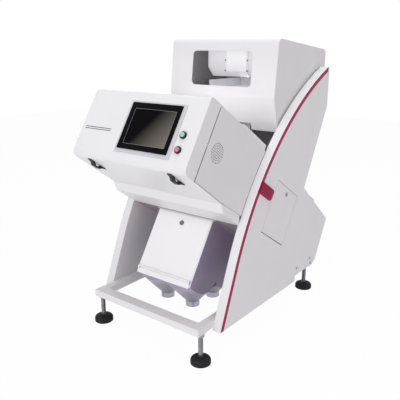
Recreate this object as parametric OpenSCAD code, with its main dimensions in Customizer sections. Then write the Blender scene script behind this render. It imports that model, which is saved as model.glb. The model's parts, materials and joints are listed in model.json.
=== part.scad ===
// Optical colour sorter with one chute, for grain, rice, beans and seeds.
// Origin: on the floor, midway between the four feet. X runs across the machine,
// Y to the back and Z up. All sizes are millimetres.

/* [Body] */
// Width over the two side plates, which is also the width of the hood
body_w = 666; // [640:2:720]
// Depth of the hollow covers outside the side plates
cover_d = 42; // [30:1:55]
// Thickness of the painted sheet
sheet = 3; // [2:0.5:4]
// Angle of the hood front and of the chute above the floor
lean = 57.5; // [56.5:0.1:58]

/* [Base] */
// Height of the beams above the floor
beam_z = 148; // [140:1:154]
// Height of the beams
beam_h = 34; // [30:1:40]
// Depth of the front and rear beams
beam_d = 55; // [45:1:60]
// Distance from the front face of the front beam to the rear face of the rear one
base_l = 1050; // [1030:5:1070]
// Width of the long rails
rail_w = 40; // [30:1:50]
// Wall of the tubes
tube_wall = 3; // [2:0.5:4]
// Distance of the feet from the ends of the front beam
foot_inset = 15; // [14:1:30]
// Distance between the front and rear feet
foot_pitch_y = 990; // [980:2:1000]
// Diameter of a foot pad
pad_d = 94; // [80:1:100]
// Diameter of a foot stem
stem_d = 20; // [16:1:22]

/* [Side covers] */
// Height of the lower edge above the floor
cover_z = 136; // [130:1:142]
// Point where the straight front edge turns into the arc, measured to the back
edge_y = -313; // [-325:1:-300]
// Height of that point
edge_z = 418; // [400:1:430]
// Lean of the straight front edge from upright
edge_lean = 21.7; // [20:0.1:23]
// Radius of the arc up to the top
edge_r = 1530; // [1500:5:1560]
// Back face of the upper part
cover_back = 537; // [525:1:545]
// Width of the coloured stripe
stripe_w = 11; // [6:0.5:14]
// Length of the ribbed tab
tab_l = 146; // [130:1:150]
// Height of the ribbed tab
tab_h = 58; // [45:1:65]
// Width of the side door
side_door_w = 242; // [220:1:250]
// Height of the side door
side_door_h = 264; // [240:1:270]

/* [Hood] */
// Height of the hood front, along its own slope
hood_h = 336; // [320:1:345]
// Depth of the front door's cheeks
door_d = 74; // [65:1:80]
// Length of the door's underside
under_l = 304; // [280:1:320]
// How far the underside drops over its length
under_drop = 18; // [12:1:24]
// Radius of the lower front bend
low_bend = 28; // [16:1:30]
// Radius of the upper front bend
top_bend = 16; // [8:1:24]
// Length of a handle
handle_l = 108; // [96:1:120]
// Distance between the handles
handle_pitch = 476; // [420:2:520]

/* [Control panel] */
// Width of the display frame
frame_w = 313; // [305:1:320]
// Height of the display frame
frame_h = 243; // [236:1:250]
// Width of the display bezel
bezel_w = 282; // [276:1:290]
// Height of the display bezel
bezel_h = 217; // [210:1:222]
// Width of the screen
screen_w = 234; // [220:1:245]
// Height of the screen
screen_h = 165; // [150:1:175]
// Diameter of a push-button cap
cap_d = 21; // [18:0.5:23]
// Travel of a push-button
button_travel = 4; // [3:0.5:5]

/* [Feed box] */
// Gap between the feed box and the side plates
box_gap = 9; // [6:1:16]
// Back face of the feed box
box_back = 592; // [580:1:600]
// Height of the front edge of the lid
box_top = 1406; // [1390:1:1420]
// Width of the front window
window_w = 366; // [330:2:380]
// Height of the front window
window_h = 170; // [140:2:180]
// Width of the feed inlet in the lid
inlet_w = 260; // [220:2:280]
// Length of the feed inlet in the lid
inlet_l = 220; // [180:2:230]
// Width of the feed hopper
hopper_w = 344; // [330:2:350]
// Width of the vibrating tray
tray_w = 320; // [300:2:330]
// Depth of the vibrating tray
tray_h = 46; // [36:1:50]

/* [Sorting] */
// Width of the chute
chute_w = 324; // [300:2:330]
// Depth of the chute's side rails
chute_rail = 30; // [20:1:34]
// Distance of the chute behind the hood front
chute_s = 600; // [595:1:605]
// Height of the sight line on the hood's slope
sight_t = 165; // [160:1:170]
// Height of the viewing glasses
glass_h = 86; // [80:1:90]
// Spacing of the air nozzles
nozzle_pitch = 10; // [8:1:12]
// Diameter of the fan opening in its frame
fan_d = 88; // [80:1:90]

/* [Collector] */
// Width of the collecting hopper
bin_w = 340; // [330:1:350]
// Wall of the collecting hopper
bin_wall = 2.5; // [2:0.5:3]
// Outer diameter of a spout
spout_d = 70; // [60:1:76]
// Height of the spout ends above the floor
spout_z = 121; // [110:1:130]
// Length of a spout
spout_l = 28; // [20:1:40]

/* [Rear box] */
// Distance of the lid's ends from the side plates
lid_inset = 4; // [3:1:12]
// Length of the lid
lid_l = 205; // [190:1:215]

/* [Fits] */
// Radial clearance of a turning or sliding fit
run_gap = 0.05; // [0.02:0.01:0.1]
// Visible gap round doors
seam = 2; // [1.5:0.1:3]
// Gap between the hood and the side plates
hood_gap = 3; // [2:0.5:4]

/* [Hidden] */
$fn = 48;

// Paint colours
WHITE = "#f1f0f4";
GREY = "#cdc8cd";
CRIMSON = "#b3184e";
STEEL = "#b9b6c4";
BLACK = "#1d1d20";

half_w = body_w / 2;
plate_x = half_w - sheet;
cover_x = half_w + cover_d;
box_x = plate_x - box_gap;
box_w = 2 * box_x;
eps = 1;
// Clearance left where a piece is seated on a slanting sheet
seat_gap = 0.05;

// Lower front edge of the hood, the origin of its tilted axes
hood_y = -619;
hood_z = 899;

// A point of the tilted axes (s back from the hood front, t up along it) as [y, z]
function at(s, t) = [hood_y + s * sin(lean) + t * cos(lean), hood_z - s * cos(lean) + t * sin(lean)];

// Height along the hood front of the point that has the given s and world height
function along_t(s, z) = (z - hood_z + s * cos(lean)) / sin(lean);

// Unit vector, left normal and corner arc of flat outlines
function unit(v) = v / norm(v);
function left(v) = [-v.y, v.x];
function turn(a) = a > 180 ? a - 360 : a < -180 ? a + 360 : a;
function corner(a, b, c, r, n) = r == 0 ? [b] :
    let (u = unit(a - b), v = unit(c - b), half = acos(u * v) / 2)
    let (o = b + unit(u + v) * r / sin(half), p = b + u * r / tan(half) - o, q = b + v * r / tan(half) - o)
    let (start = atan2(p.y, p.x), sweep = turn(atan2(q.y, q.x) - start))
    [for (i = [0:n]) o + r * [cos(start + sweep * i / n), sin(start + sweep * i / n)]];

// Outline with its corners rounded by the radii given
function rounded(pts, radii, n = 6) = let (m = len(pts))
    [for (i = [0:m - 1]) each corner(pts[(i + m - 1) % m], pts[i], pts[(i + 1) % m], radii[i], n)];

// Point shifted to the left of a path by d, mitred
function shifted(p, before, after, d) =
    let (n1 = left(unit(p - before)), n2 = left(unit(after - p))) p + (n1 + n2) * d / (1 + n1 * n2);

// Closed outline moved to its left by d
function moved(pts, d) = let (m = len(pts))
    [for (i = [0:m - 1]) shifted(pts[i], pts[(i + m - 1) % m], pts[(i + 1) % m], d)];

// Strip of sheet along an open path, with its thickness d to the left
function strip(pts, d) = let (m = len(pts) - 1)
    concat(pts, [for (i = [m:-1:0]) shifted(pts[i],
        i == 0 ? 2 * pts[0] - pts[1] : pts[i - 1], i == m ? 2 * pts[m] - pts[m - 1] : pts[i + 1], d)]);

function reversed(pts) = [for (i = [len(pts) - 1:-1:0]) pts[i]];

// Extrusion across the machine of an outline drawn in [y, z]
module slab(x0, x1) translate([x0, 0, 0]) rotate([90, 0, 90]) linear_extrude(x1 - x0) children();
module across(w) slab(-w / 2, w / 2) children();
module tilted() translate([0, hood_y, hood_z]) rotate([lean - 90, 0, 0]) children();
module both_sides() {
    children();
    mirror([1, 0, 0]) children();
}
module block(low, high) translate(low) cube(high - low);
module bar_x(r, x0, x1) translate([x0, 0, 0]) rotate([0, 90, 0]) cylinder(r = r, h = x1 - x0);
module bar_s(r, s0, s1) translate([0, s0, 0]) rotate([-90, 0, 0]) cylinder(r = r, h = s1 - s0);
module hex(across_flats, h) cylinder(d = across_flats / cos(30), h = h, $fn = 6);
// Flat rectangle with round corners, lying in [x, z] and running back from y = y0 to y1
module round_plate(x0, x1, z0, z1, r, y0, y1)
    translate([0, y1, 0]) rotate([90, 0, 0]) linear_extrude(y1 - y0)
        polygon(rounded([[x0, z0], [x1, z0], [x1, z1], [x0, z1]], [r, r, r, r]));

// Base and feet
front_y = -base_l / 2 - 5;
rear_y = front_y + base_l;
rail_x = plate_x - rail_w;
cross_tube_y = 150;
foot_x = half_w - foot_inset;
foot_y = foot_pitch_y / 2;
cap_t = 2;
stem_top = beam_z + tube_wall + 22;
boss_h = 12;
nut_h = 16;
nut_flats = 30;
pad_h = 32;
pad_rim = 12;
lug_r = 11;
lug_bore = 4;
lug_angle = 160;
socket_r = 15;
socket_z = 14;
socket_flange = 10;

module tube(low, high, open) {
    wall = [for (i = [0:2]) open[i] == 0 ? tube_wall : -open[i]];
    block(low + wall, high - wall);
}

module base_frame() color(WHITE) difference() {
    union() {
        block([-half_w + cap_t, front_y, beam_z], [half_w - cap_t, front_y + beam_d, beam_z + beam_h]);
        block([-plate_x, rear_y - beam_d, beam_z], [plate_x, rear_y, beam_z + beam_h]);
        both_sides() block([rail_x, front_y + beam_d - eps, beam_z],
            [plate_x, rear_y - beam_d + eps, beam_z + beam_h]);
        block([-rail_x - eps, cross_tube_y, beam_z], [rail_x + eps, cross_tube_y + rail_w, beam_z + beam_h]);
    }
    difference() {
        union() {
            tube([-half_w, front_y, beam_z], [half_w, front_y + beam_d, beam_z + beam_h], [eps, 0, 0]);
            tube([-plate_x, rear_y - beam_d, beam_z], [plate_x, rear_y, beam_z + beam_h], [eps, 0, 0]);
            both_sides() tube([rail_x, front_y + beam_d, beam_z],
                [plate_x, rear_y - beam_d, beam_z + beam_h], [0, tube_wall + eps, 0]);
            tube([-rail_x, cross_tube_y, beam_z], [rail_x, cross_tube_y + rail_w, beam_z + beam_h],
                [tube_wall + eps, 0, 0]);
        }
        for (x = [-foot_x, foot_x], y = [-foot_y, foot_y])
            translate([x, y, beam_z]) cylinder(r = stem_d, h = tube_wall + boss_h);
    }
    for (x = [-foot_x, foot_x], y = [-foot_y, foot_y])
        translate([x, y, beam_z - eps]) cylinder(d = stem_d + 2 * run_gap, h = tube_wall + boss_h + 2 * eps);
}

module beam_end_caps() color(WHITE) both_sides() {
    block([half_w - cap_t, front_y, beam_z], [half_w, front_y + beam_d, beam_z + beam_h]);
}

module lock_nuts() color(STEEL)
    for (x = [-foot_x, foot_x], y = [-foot_y, foot_y])
        translate([x, y, beam_z - nut_h]) difference() {
            rotate(30) hex(nut_flats, nut_h);
            translate([0, 0, -eps]) cylinder(d = stem_d + 2 * run_gap, h = nut_h + 2 * eps);
        }

// Pad: rim, domed top and a fixing lug on one side
pad_dome = rounded([[socket_r + 4, pad_h], [pad_d / 2, pad_h - 4], [pad_d / 2, pad_rim]],
    [0, pad_h - pad_rim - 6, 0], 8);
pad_side = concat([[0, 0], [pad_d / 2 - 2, 0], [pad_d / 2, 2]], reversed(pad_dome), [[0, pad_h]]);
module foot_pads() color(BLACK)
    for (x = [-foot_x, foot_x], y = [-foot_y, foot_y]) translate([x, y, 0]) difference() {
        union() {
            rotate_extrude() polygon(pad_side);
            rotate(lug_angle) translate([pad_d / 2 + 2, 0, 0]) cylinder(r = lug_r, h = pad_rim - 2);
        }
        translate([0, 0, socket_z]) cylinder(r = socket_r + run_gap, h = pad_h);
        rotate(lug_angle) translate([pad_d / 2 + 6, 0, -eps]) cylinder(r = lug_bore, h = pad_rim);
    }

module foot_stem(x, y) color(STEEL) translate([x, y, 0]) {
    translate([0, 0, socket_z]) cylinder(r = socket_r, h = socket_flange);
    translate([0, 0, socket_z]) cylinder(d = stem_d, h = stem_top - socket_z);
    translate([0, 0, pad_h + 2]) hex(nut_flats - 4, 10);
}
module foot_stem_front_left() foot_stem(-foot_x, -foot_y);
module foot_stem_front_right() foot_stem(foot_x, -foot_y);
module foot_stem_rear_left() foot_stem(-foot_x, foot_y);
module foot_stem_rear_right() foot_stem(foot_x, foot_y);

// Side plates and covers
edge_c = [edge_y + edge_r * cos(edge_lean), edge_z - edge_r * sin(edge_lean)];
edge_steps = 24;

// Front edge from the bottom up to the given y, moved inwards by d
function front_edge(d, end_y) = let (r = edge_r - d, top = acos((end_y - edge_c.x) / r))
    concat([[edge_y - (edge_z - cover_z) * tan(edge_lean) + d / cos(edge_lean), cover_z]],
        [for (i = [0:edge_steps]) let (a = 180 - edge_lean + (top - 180 + edge_lean) * i / edge_steps)
            edge_c + r * [cos(a), sin(a)]]);

// Corners of the back and the underside, from the top down
neck_z = box_top - 344;
waist = at(924, 297);
shelf = at(1315, 253);
heel_s = 1331;
heel_z = beam_z + beam_h + 8;
heel = at(heel_s, along_t(heel_s, heel_z));
heel_run = 37;
step_y = 269;
step_z = cover_z + 32;
cover_corners = [[cover_back, neck_z], waist, shelf, heel, [heel.x - heel_run, step_z], [step_y, step_z],
    [step_y, cover_z]];
corner_radii = [30, 12, 14, 14, 10, 6, 10];
cover_outline = rounded(concat(front_edge(0, cover_back), cover_corners),
    concat([for (i = [0:edge_steps]) 0], [12], corner_radii));

// Side door on the right, in the tilted axes
side_door_s = 640;
side_door_t = -33.5;
door_hem = 12;
pivot_x = cover_x - 6;
pivot_t = side_door_t + 4;
pivot_r = 1.5;
door_swing = 3.7;
lock_s = side_door_s + side_door_w / 2;
lock_t = side_door_t + side_door_h - 31;
lock_r = 9;
cam_in = 20;
cam_l = 43;

module side_outline() polygon(cover_outline);
module door_hole(x0, x1, margin) tilted() block(
    [x0, side_door_s - margin, side_door_t - (margin > 0 ? door_swing : margin)],
    [x1, side_door_s + side_door_w + margin, side_door_t + side_door_h + margin]);

module side_plate_left() color(GREY) slab(-half_w, -plate_x) side_outline();
module side_plate_right() color(GREY) difference() {
    slab(plate_x, half_w) side_outline();
    door_hole(plate_x - eps, half_w + eps, -20);
}

module cover_shell() difference() {
    slab(half_w, cover_x) side_outline();
    slab(half_w - eps, cover_x - sheet) polygon(moved(cover_outline, -sheet));
}
module side_cover_left() color(WHITE) mirror([1, 0, 0]) cover_shell();
module side_cover_right() color(WHITE) {
    difference() {
        cover_shell();
        door_hole(cover_x - sheet - eps, cover_x + eps, seam);
    }
    // Strike that the cam of the lock turns behind
    tilted() block([cover_x - cam_in + 1, lock_s - 20, side_door_t + side_door_h + seam + 1],
        [cover_x - sheet, lock_s + 20, side_door_t + side_door_h + seam + 11]);
}

stripe_t = 0.5;
stripe_end = cover_back - 14;
module trim_stripes() color(CRIMSON) both_sides()
    slab(cover_x, cover_x + stripe_t) polygon(concat(front_edge(0, stripe_end),
        reversed(front_edge(stripe_w, stripe_end))));

// Ribbed tab that runs back from the stripe
tab_s = 484;
tab_t = 114;
tab_ribs = 5;
tab_base = 5;
rib_h = 3;
module cover_tabs() color(CRIMSON) both_sides() difference() {
    tilted() ribbed_tab();
    slab(cover_x - eps, cover_x + tab_base + rib_h + eps) polygon(concat(front_edge(-tab_l, stripe_end),
        reversed(front_edge(stripe_w + seam / 4, stripe_end))));
}
module ribbed_tab() {
    slab(cover_x, cover_x + tab_base) polygon(rounded(
        [[tab_s, tab_t], [tab_s + tab_l - 8, tab_t], [tab_s + tab_l, tab_t + tab_h], [tab_s, tab_t + tab_h]],
        [0, 18, 14, 0]));
    for (i = [0:tab_ribs - 1]) let (t = tab_t + tab_h * (i + 0.5) / tab_ribs)
        block([cover_x, tab_s + 6, t - 2], [cover_x + tab_base + rib_h, tab_s + tab_l - 20, t + 2]);
}

module side_door() color(WHITE) tilted() difference() {
    block([cover_x - sheet - door_hem, side_door_s, side_door_t],
        [cover_x, side_door_s + side_door_w, side_door_t + side_door_h]);
    block([cover_x - sheet - door_hem - eps, side_door_s + sheet, side_door_t + 9],
        [cover_x - sheet, side_door_s + side_door_w - sheet, side_door_t + side_door_h - sheet]);
    block([cover_x - sheet - door_hem - eps, side_door_s + sheet, side_door_t - eps],
        [cover_x - sheet, side_door_s + side_door_w - sheet, side_door_t + 10]);
    translate([pivot_x, 0, pivot_t])
        bar_s(pivot_r + run_gap, side_door_s - eps, side_door_s + side_door_w + eps);
    translate([0, lock_s, lock_t]) bar_x(lock_r + run_gap, cover_x - sheet - eps, cover_x + eps);
}

// Pivot brackets on the inside of the cover, one at each end of the door's lower edge
bracket_l = 14;
bracket_side = 16;
pivot_l = bracket_l + seam + sheet;
module door_bracket() {
    block([cover_x - sheet - bracket_side, 0, pivot_t - bracket_side / 2],
        [cover_x - sheet, bracket_l, pivot_t + bracket_side / 2]);
    translate([pivot_x, 0, pivot_t]) bar_s(pivot_r, 2, pivot_l + 2);
}
module side_door_hinges() color(STEEL) tilted() {
    translate([0, side_door_s - seam - bracket_l, 0]) door_bracket();
    translate([0, side_door_s + side_door_w + seam + bracket_l, 0]) mirror([0, 1, 0]) door_bracket();
}

// Key lock: disc outside, barrel through the door, cam inside, shown unlocked
module side_door_lock() color(STEEL) tilted() translate([0, lock_s, lock_t]) difference() {
    union() {
        bar_x(lock_r, cover_x - cam_in, cover_x);
        bar_x(lock_r + 2, cover_x, cover_x + 2);
        block([cover_x - cam_in - 3, -8, -8], [cover_x - cam_in, cam_l, 8]);
    }
    block([cover_x - 6, -1, -4], [cover_x + 3, 1, 4]);
}

// Hood panels, in the tilted axes
panel_s = door_d + 6;
top_s = 279;
hood_end_s = 505;
top_slope = 16;
roof_step = 12;
under_angle = atan(under_drop / under_l);
function under_t(s) = -s * tan(under_angle);
function roof_t(s) = s < top_s ? hood_h - 1 : hood_h - 1 - top_slope * (s - top_s) / (hood_end_s - top_s);
pan_end_s = 496;
pan_depth = 32;
pan_front = 44;
panel_low_rear = under_t(under_l) + sheet + seam;

vent_s = 157;
vent_t = 156;
vent_pitch = 10.3;
vent_rings = 4;
vent_hole = 6.4;
lap_s = 462;
lap_x = plate_x - sheet;

module hood_panel() {
    difference() {
        slab(plate_x, half_w) polygon([at(panel_s, under_t(panel_s) + sheet + seam), at(panel_s, hood_h - 1),
            at(top_s, hood_h - 1), at(hood_end_s + 12, roof_t(hood_end_s + 12)),
            at(hood_end_s, panel_low_rear), at(under_l + seam, panel_low_rear)]);
        slab(plate_x - eps, half_w + eps) polygon(moved(cover_outline, hood_gap));
    }
    tilted() block([lap_x, lap_s, 12], [plate_x, lap_s + 76, 290]);
}
module hood_left_panel() color(GREY) mirror([1, 0, 0]) hood_panel();
module hood_right_panel() color(GREY) difference() {
    hood_panel();
    tilted() translate([0, vent_s, vent_t]) for (ring = [0:vent_rings])
        for (k = [0:max(0, 6 * ring - 1)]) rotate([360 * k / max(1, 6 * ring), 0, 0])
            translate([0, ring * vent_pitch, 0]) bar_x(vent_hole / 2, plate_x - eps, half_w + eps);
}

hinge_s = panel_s - 1;
hinge_t = hood_h + 2.5;
roof_s = hinge_s + 5;
module hood_top_panel() color(WHITE) tilted() {
    across(2 * plate_x) polygon([[roof_s, hood_h], [top_s, hood_h], [top_s, hood_h + roof_step],
        [hood_end_s, hood_h + roof_step], [hood_end_s, hood_h + roof_step - sheet],
        [top_s + sheet, hood_h + roof_step - sheet], [top_s + sheet, hood_h - sheet],
        [roof_s + sheet, hood_h - sheet], [roof_s + sheet, hood_h - 10], [roof_s - 22, hood_h - 10],
        [roof_s - 22, hood_h - 7], [roof_s, hood_h - 7]]);
    both_sides() slab(lap_x, plate_x) polygon([[top_s, hood_h + roof_step - eps],
        [hood_end_s, hood_h + roof_step - eps], [hood_end_s, roof_t(hood_end_s) - 10],
        [top_s + sheet, hood_h - 11], [top_s, hood_h - sheet]]);
}

// Pan under the hood, behind the door's underside
pan_path = [[under_l + seam, under_t(under_l)], [under_l + pan_front, under_t(under_l) - pan_depth],
    [pan_end_s, under_t(under_l) - pan_depth - 7]];
pan_lap = 40;
module pan_sheets() {
    across(body_w) polygon(strip(pan_path, sheet));
    both_sides() {
        slab(plate_x, half_w) polygon(concat(pan_path,
            [[pan_end_s - 20, panel_low_rear - seam], [under_l + seam, panel_low_rear - seam]]));
        block([lap_x, under_l + pan_lap, -under_drop - pan_depth + sheet / 2], [plate_x, lap_s - 4, 0]);
    }
}
module hood_bottom_pan() color(WHITE) difference() {
    tilted() pan_sheets();
    both_sides() slab(plate_x, half_w + eps) polygon(moved(cover_outline, hood_gap));
}

// Front door: folded sheet with cheeks, knuckles on its upper edge
door_path = rounded([[door_d, hood_h], [0, hood_h], [0, 0], [under_l, under_t(under_l)]],
    [0, top_bend, low_bend, 0]);
frame_x = half_w - 255.5;
frame_t = 165.5;
frame_z = 3;
bezel_t = 170;
bezel_x = frame_x - 3.5;
bezel_z = 4;
body_margin = 8;
screen_x = bezel_x + 3;
screen_t = 168;
button_x = half_w - 69.5;
start_t = 155.5;
stop_t = 91;
barrel_r = 11;
plunger_r = 6;
knuckle_r = 4;
hinge_pin_r = 2.5;
knuckle_x = half_w - 93;
knuckle_l = 30;
leaf_t = 2.5;

module frame_of(w, h, x, t, r, s0, s1)
    round_plate(x - w / 2, x + w / 2, t - h / 2, t + h / 2, r, s0, s1);
module display_hole(s0, s1, gap)
    let (less = 2 * body_margin - 2 * gap)
        frame_of(bezel_w - less, bezel_h - less, bezel_x, bezel_t, 3, s0, s1);

cheek_d = door_d + sheet / 2;
cheek = rounded([[cheek_d, hood_h], [0, hood_h], [0, 0], [cheek_d, under_t(cheek_d)]],
    [0, top_bend, low_bend, 0]);

module front_door() color(WHITE) tilted() difference() {
    union() {
        across(body_w) polygon(strip(door_path, sheet));
        both_sides() slab(plate_x, half_w) polygon(moved(cheek, sheet / 2));
        for (x = [-knuckle_x, knuckle_x]) {
            translate([0, hinge_s, hinge_t]) bar_x(knuckle_r, x - knuckle_l / 2, x + knuckle_l / 2);
            block([x - knuckle_l / 2, hinge_s - 30, hood_h], [x + knuckle_l / 2, hinge_s, hood_h + leaf_t]);
        }
    }
    display_hole(-eps, sheet + eps, 1);
    for (t = [start_t, stop_t]) translate([button_x, 0, t]) bar_s(barrel_r + 0.2, -eps, sheet + eps);
    for (x = [-knuckle_x, knuckle_x]) translate([0, hinge_s, hinge_t])
        bar_x(hinge_pin_r + run_gap, x - knuckle_l / 2 - eps, x + knuckle_l / 2 + eps);
}

module door_hinge() color(STEEL) tilted() for (x = [-knuckle_x, knuckle_x]) {
    translate([0, hinge_s, hinge_t]) bar_x(hinge_pin_r, x - knuckle_l, x + knuckle_l);
    for (end = [-1, 1]) let (x0 = x + end * (knuckle_l * 0.76)) {
        translate([0, hinge_s, hinge_t]) bar_x(knuckle_r, x0 - knuckle_l / 4, x0 + knuckle_l / 4);
        block([x0 - knuckle_l / 4, hinge_s, hood_h], [x0 + knuckle_l / 4, roof_s + 26, hood_h + leaf_t]);
    }
}

module display_frame() color("#dcdbe0") tilted() difference() {
    frame_of(frame_w, frame_h, frame_x, frame_t, 3, -frame_z, 0);
    display_hole(-frame_z - eps, eps, 1);
}
module display_bezel() color(BLACK) tilted() difference() {
    union() {
        frame_of(bezel_w, bezel_h, bezel_x, bezel_t, 4, -frame_z - bezel_z, -frame_z);
        display_hole(-frame_z - eps, 38, 0);
    }
    frame_of(screen_w, screen_h, screen_x, screen_t, 1, -frame_z - bezel_z - eps, -frame_z - bezel_z + 2);
}
module display_screen() color("#2b2724") tilted()
    frame_of(screen_w, screen_h, screen_x, screen_t, 1, -frame_z - bezel_z + 0.3, -frame_z - bezel_z + 2);

// Push-buttons: ring outside, barrel through the panel, cap with a plunger
ring_h = 8;
ring_r = cap_d / 2 + 5;
barrel_l = 24;
module button_bezels() color(BLACK) tilted() {
    button_bezel(start_t);
    button_bezel(stop_t);
}
module button_bezel(t) translate([button_x, 0, t]) difference() {
    union() {
        bar_s(ring_r, -ring_h, 0);
        bar_s(barrel_r, -eps, barrel_l);
    }
    bar_s(cap_d / 2 + 4 * run_gap, -ring_h - eps, -1);
    bar_s(plunger_r + run_gap, -2, barrel_l + eps);
}
module button(t) tilted() translate([button_x, 0, t]) {
    bar_s(cap_d / 2, -ring_h - 3.5, -2 - button_travel);
    bar_s(plunger_r, -3 - button_travel, barrel_l - 1);
}
module start_button() color("#9fd4bf") button(start_t);
module stop_button() color("#d98aa2") button(stop_t);

// Bridge handles under the door: flat feet at both ends and a raised bow
handle_s = 26;
handle_out = 18;
handle_foot = 20;
handle_slope = 18;
handle_t = 6;
handle_w = 22;
handle_side = [[0, 0], [0, -3], [handle_foot, -handle_t], [handle_foot + handle_slope, -handle_out]];
handle_inner = [[handle_foot + 8, 1], [handle_foot + handle_slope + 4, -handle_out + handle_t]];
function end_for_end(pts) = [for (p = reversed(pts)) [handle_l - p.x, p.y]];
module handle_shape() difference() {
    polygon(rounded(concat(handle_side, end_for_end(handle_side)), [0, 2, 14, 10, 10, 14, 2, 0]));
    polygon(rounded(concat(handle_inner, end_for_end(handle_inner)), [0, 8, 8, 0]));
}
module door_handles() color(BLACK) tilted() rotate([-under_angle, 0, 0]) translate([0, handle_s, 0])
    both_sides() slab(handle_pitch / 2 - handle_w / 2, handle_pitch / 2 + handle_w / 2) handle_shape();

// Cooling fan behind the perforated vent
fan_side = fan_d + 4;
fan_t = 25;
hub_r = 18;
axle_r = 3;
blades = 7;
module fan_at() tilted() translate([plate_x - fan_t, vent_s, vent_t]) children();
module fan_frame() color(BLACK) fan_at() difference() {
    union() {
        difference() {
            block([0, -fan_side / 2, -fan_side / 2], [fan_t, fan_side / 2, fan_side / 2]);
            bar_x(fan_d / 2, -eps, fan_t + eps);
        }
        bar_x(hub_r, 0, 4);
        for (k = [0:3]) rotate([90 * k + 45, 0, 0]) block([0, hub_r - 2, -2.5], [4, fan_d / 2 + 1, 2.5]);
    }
    bar_x(axle_r + run_gap, -eps, 4 + eps);
}
module fan_rotor() color("#2a2a2e") fan_at() {
    bar_x(axle_r, 0.5, 8);
    bar_x(hub_r, 4.5, fan_t - 2);
    for (k = [0:blades - 1]) rotate([360 * k / blades, 0, 0]) translate([fan_t / 2 + 1, hub_r - 1, 0])
        rotate([0, 40, 0]) block([-1, 0, -11], [1, fan_d / 2 - hub_r - 1, 11]);
}

// Feed box: one wrapped sheet with two ends
box_front_low = [113, box_top - 439];
box_bend = [67, box_top - 269];
box_front_top = [96, box_top];
lid_fall = 54;
box_rear_top = [box_back, box_top - lid_fall];
box_rear_low = [box_back, box_top - 291];
back_inset = 4;
wrap_lip = [cover_back - back_inset - 6, box_rear_low.y];
wrap_path = rounded([box_front_low, box_bend, box_front_top, box_rear_top, box_rear_low, wrap_lip],
    [0, 60, 24, 24, 6, 0]);
lid_angle = atan(lid_fall / (box_back - box_front_top.x));
function lid_z(y) = box_top - (y - box_front_top.x) * tan(lid_angle);
function lid_under(y) = lid_z(y) - sheet / cos(lid_angle);
window_z = box_top - 143;
window_r = 22;
inlet_y = 342;
notch_h = 34;
flange_z = box_top - 340;
flange_h = 44;
flange_y = 330;
flange_l = 170;
box_foot = [[wrap_lip.x, flange_z], [300, flange_z], [160, flange_z - 26]];

module feed_wrap() color(WHITE) difference() {
    across(box_w - 2 * sheet) polygon(strip(wrap_path, -sheet));
    round_plate(-window_w / 2, window_w / 2, window_z - window_h / 2, window_z + window_h / 2, window_r,
        box_bend.x - 20, box_front_top.x + 20);
    // Room for the chute below the front
    block([-chute_w / 2 - 8, box_bend.x, box_front_low.y - eps],
        [chute_w / 2 + 8, box_front_low.x + 20, box_front_low.y + notch_h]);
    block([-inlet_w / 2, inlet_y - inlet_l / 2, box_top - lid_fall - 20],
        [inlet_w / 2, inlet_y + inlet_l / 2, box_top + eps]);
}
module feed_sides() color(GREY) both_sides() {
    slab(box_x - sheet, box_x) polygon(concat(wrap_path, box_foot));
    block([box_x - eps, flange_y, flange_z], [plate_x, flange_y + flange_l, flange_z + flange_h]);
}

// Feed hopper under the inlet, with a sight plate in its front wall
hopper_y = 205;
hopper_back = 480;
hopper_z = box_top - 188;
hopper_chamfer = 44;
hopper_foot = 32;
hopper_wall = 2;
sight_w = 122;
sight_z = box_top - 161;
sight_x = 9;
sight_rim = 14;
sight_h = 110;
module sight_plate(rim, y0, y1) round_plate(sight_x - sight_w / 2 - rim, sight_x + sight_w / 2 + rim,
    sight_z - rim, sight_z + sight_h + rim, 2, y0, y1);
module hopper_body(gap) intersection() {
    translate([0, hopper_back - gap, 0]) rotate([90, 0, 0]) linear_extrude(hopper_back - hopper_y - 2 * gap)
        let (w = hopper_w / 2 - gap, z = hopper_z - (gap > 0 ? eps : 0)) polygon([
            [-w, box_top], [-w, hopper_z + hopper_chamfer], [-w + hopper_foot, z],
            [w - hopper_foot, z], [w, hopper_z + hopper_chamfer], [w, box_top]]);
    across(hopper_w + 2) let (lift = gap > 0 ? eps : -seat_gap) polygon([[hopper_y, hopper_z - lift],
        [hopper_back, hopper_z - lift], [hopper_back, lid_under(hopper_back) + lift],
        [hopper_y, lid_under(hopper_y) + lift]]);
}
module feed_hopper() color("#c9c7cc") difference() {
    union() {
        hopper_body(0);
        sight_plate(sight_rim, hopper_y - hopper_wall, hopper_y + eps);
    }
    hopper_body(hopper_wall);
    sight_plate(0, hopper_y - 2 * hopper_wall, hopper_y + hopper_wall + eps);
}
module hopper_window() color("white") sight_plate(0, hopper_y - hopper_wall, hopper_y + hopper_wall);

// Vibrating feeder
tray_y = 196;
tray_back = 505;
tray_z = hopper_z - 68;
tray_wall = 2;
rib_low = 12;
drive_y = 380;
bar_side = 30;
drive_z = tray_z - 114;
drive_base_h = 24;
stroke = 1;
bracket_w = 140;
bracket_d = 180;
spring_t = 3;
spring_w = 40;
spring_lean = 20;
magnet_gap = 4;
magnet_top = tray_z - rib_low - magnet_gap;
drive_w = 190;
drive_l = 160;
core_w = 32;
coil_w = 46;
coil_h = 40;

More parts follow.
